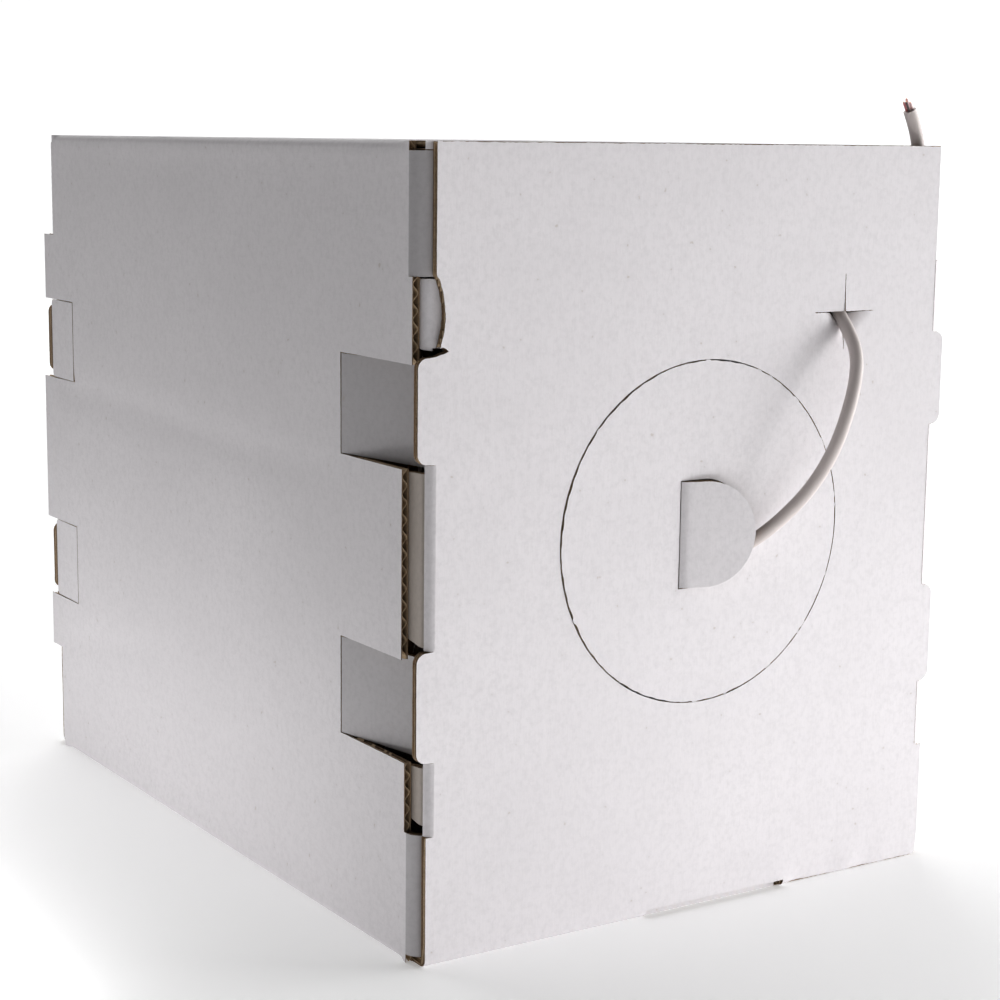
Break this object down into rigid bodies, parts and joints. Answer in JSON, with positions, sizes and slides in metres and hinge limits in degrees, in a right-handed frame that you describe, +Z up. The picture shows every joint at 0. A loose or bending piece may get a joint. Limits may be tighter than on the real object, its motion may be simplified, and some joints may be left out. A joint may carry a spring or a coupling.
{
  "type": "cable spool box",
  "caption": "Free-standing corrugated dispenser carton with a cable spool on an axle, a perforated front disc with a D-shaped flap and a cross-slit for the cable end.",
  "frame": {"origin": "centre of the bottom panel's underside", "axes": "+X to the right, +Y from the front panel to the back, +Z up"},
  "size_m": [0.2514, 0.3806, 0.3194],
  "materials": {
    "white_lined_board": "white-lined corrugated board with a fine paper fibre, brown at its cut edges",
    "brown_board": "plain brown corrugated board",
    "spool_board": "brown hardboard",
    "paper_tube": "spiral-wound brown paper tube",
    "hub_plastic": "moulded black plastic",
    "steel": "zinc-plated steel",
    "cable_jacket": "off-white PVC jacket with a soft sheen",
    "conductor_insulation": "pink and red conductor insulation"
  },
  "bodies": {
    "carton": {"left_wall": "white_lined_board", "right_wall": "white_lined_board", "top_panel": "white_lined_board", "bottom_panel": "white_lined_board", "glue_flap": "white_lined_board", "cradle_board_left": "brown_board", "cradle_board_right": "brown_board", "axle_tube": "paper_tube"},
    "front_panel": {"front_panel": "white_lined_board", "knockout_disc": "white_lined_board", "cable_lead": "cable_jacket", "conductors": "conductor_insulation"},
    "back_panel": {"back_panel": "white_lined_board"},
    "pull_flap": {"pull_flap": "white_lined_board"},
    "spool": {"spool_flange_left": "spool_board", "spool_flange_right": "spool_board", "hub_bush_left": "hub_plastic", "hub_bush_right": "hub_plastic", "spool_barrel": "paper_tube", "cable_winding": "cable_jacket", "tie_bolts": "steel", "tie_nuts": "steel"},
    "front_tuck_left": {"front_tuck_left": "white_lined_board"},
    "lock_tab_left_front_lower": {"lock_tab_left_front_lower": "white_lined_board"},
    "lock_tab_left_front_upper": {"lock_tab_left_front_upper": "white_lined_board"},
    "back_tuck_left": {"back_tuck_left": "white_lined_board"},
    "lock_tab_left_back_lower": {"lock_tab_left_back_lower": "white_lined_board"},
    "lock_tab_left_back_upper": {"lock_tab_left_back_upper": "white_lined_board"},
    "front_tuck_right": {"front_tuck_right": "white_lined_board"},
    "lock_tab_right_front_lower": {"lock_tab_right_front_lower": "white_lined_board"},
    "lock_tab_right_front_upper": {"lock_tab_right_front_upper": "white_lined_board"},
    "back_tuck_right": {"back_tuck_right": "white_lined_board"},
    "lock_tab_right_back_lower": {"lock_tab_right_back_lower": "white_lined_board"},
    "lock_tab_right_back_upper": {"lock_tab_right_back_upper": "white_lined_board"},
    "slit_flap_left_upper": {"slit_flap_left_upper": "white_lined_board"},
    "slit_flap_left_lower": {"slit_flap_left_lower": "white_lined_board"},
    "slit_flap_right_upper": {"slit_flap_right_upper": "white_lined_board"},
    "slit_flap_right_lower": {"slit_flap_right_lower": "white_lined_board"}
  },
  "joints": [
    {"name": "front_panel_hinge", "type": "hinge", "parent": "carton", "child": "front_panel", "pos_m": [0, -0.177, 0], "axis": [1, 0, 0], "range_deg": [0, 90]},
    {"name": "back_panel_hinge", "type": "hinge", "parent": "carton", "child": "back_panel", "pos_m": [0, 0.177, 0], "axis": [-1, 0, 0], "range_deg": [0, 90]},
    {"name": "pull_flap_hinge", "type": "hinge", "parent": "front_panel", "child": "pull_flap", "pos_m": [-0.0094, -0.177, 0.1517], "axis": [0, 0, -1], "range_deg": [0, 90]},
    {"name": "spool_spin", "type": "hinge", "parent": "carton", "child": "spool", "pos_m": [0, 0, 0.15], "axis": [1, 0, 0], "continuous": true},
    {"name": "front_tuck_left_crease", "type": "hinge", "parent": "front_panel", "child": "front_tuck_left", "pos_m": [-0.1187, -0.1737, 0.15], "axis": [0, 0, -1], "range_deg": [0, 45]},
    {"name": "lock_tab_left_front_lower_crease", "type": "hinge", "parent": "carton", "child": "lock_tab_left_front_lower", "pos_m": [-0.122, -0.118, 0.095], "axis": [0, 0, 1], "range_deg": [-10, 15]},
    {"name": "lock_tab_left_front_upper_crease", "type": "hinge", "parent": "carton", "child": "lock_tab_left_front_upper", "pos_m": [-0.122, -0.118, 0.203], "axis": [0, 0, 1], "range_deg": [-10, 15]},
    {"name": "back_tuck_left_crease", "type": "hinge", "parent": "back_panel", "child": "back_tuck_left", "pos_m": [-0.1187, 0.1737, 0.15], "axis": [0, 0, 1], "range_deg": [0, 45]},
    {"name": "lock_tab_left_back_lower_crease", "type": "hinge", "parent": "carton", "child": "lock_tab_left_back_lower", "pos_m": [-0.122, 0.146, 0.095], "axis": [0, 0, -1], "range_deg": [-1, 15]},
    {"name": "lock_tab_left_back_upper_crease", "type": "hinge", "parent": "carton", "child": "lock_tab_left_back_upper", "pos_m": [-0.122, 0.146, 0.203], "axis": [0, 0, -1], "range_deg": [-1, 15]},
    {"name": "front_tuck_right_crease", "type": "hinge", "parent": "front_panel", "child": "front_tuck_right", "pos_m": [0.1187, -0.1737, 0.15], "axis": [0, 0, 1], "range_deg": [0, 45]},
    {"name": "lock_tab_right_front_lower_crease", "type": "hinge", "parent": "carton", "child": "lock_tab_right_front_lower", "pos_m": [0.122, -0.118, 0.095], "axis": [0, 0, -1], "range_deg": [-10, 15]},
    {"name": "lock_tab_right_front_upper_crease", "type": "hinge", "parent": "carton", "child": "lock_tab_right_front_upper", "pos_m": [0.122, -0.118, 0.203], "axis": [0, 0, -1], "range_deg": [-10, 15]},
    {"name": "back_tuck_right_crease", "type": "hinge", "parent": "back_panel", "child": "back_tuck_right", "pos_m": [0.1187, 0.1737, 0.15], "axis": [0, 0, -1], "range_deg": [0, 45]},
    {"name": "lock_tab_right_back_lower_crease", "type": "hinge", "parent": "carton", "child": "lock_tab_right_back_lower", "pos_m": [0.122, 0.146, 0.095], "axis": [0, 0, 1], "range_deg": [-1, 15]},
    {"name": "lock_tab_right_back_upper_crease", "type": "hinge", "parent": "carton", "child": "lock_tab_right_back_upper", "pos_m": [0.122, 0.146, 0.203], "axis": [0, 0, 1], "range_deg": [-1, 15]},
    {"name": "slit_flap_left_upper_crease", "type": "hinge", "parent": "front_panel", "child": "slit_flap_left_upper", "pos_m": [0.06265, -0.177, 0.2424], "axis": [-0.714, 0, -0.7002], "range_deg": [0, 20]},
    {"name": "slit_flap_left_lower_crease", "type": "hinge", "parent": "front_panel", "child": "slit_flap_left_lower", "pos_m": [0.06265, -0.174, 0.2272], "axis": [-0.714, 0, 0.7002], "range_deg": [0, 20]},
    {"name": "slit_flap_right_upper_crease", "type": "hinge", "parent": "front_panel", "child": "slit_flap_right_upper", "pos_m": [0.07815, -0.177, 0.2424], "axis": [-0.714, 0, 0.7002], "range_deg": [0, 20]},
    {"name": "slit_flap_right_lower_crease", "type": "hinge", "parent": "front_panel", "child": "slit_flap_right_lower", "pos_m": [0.07815, -0.174, 0.2272], "axis": [-0.714, 0, -0.7002], "range_deg": [0, 20]}
  ]
}
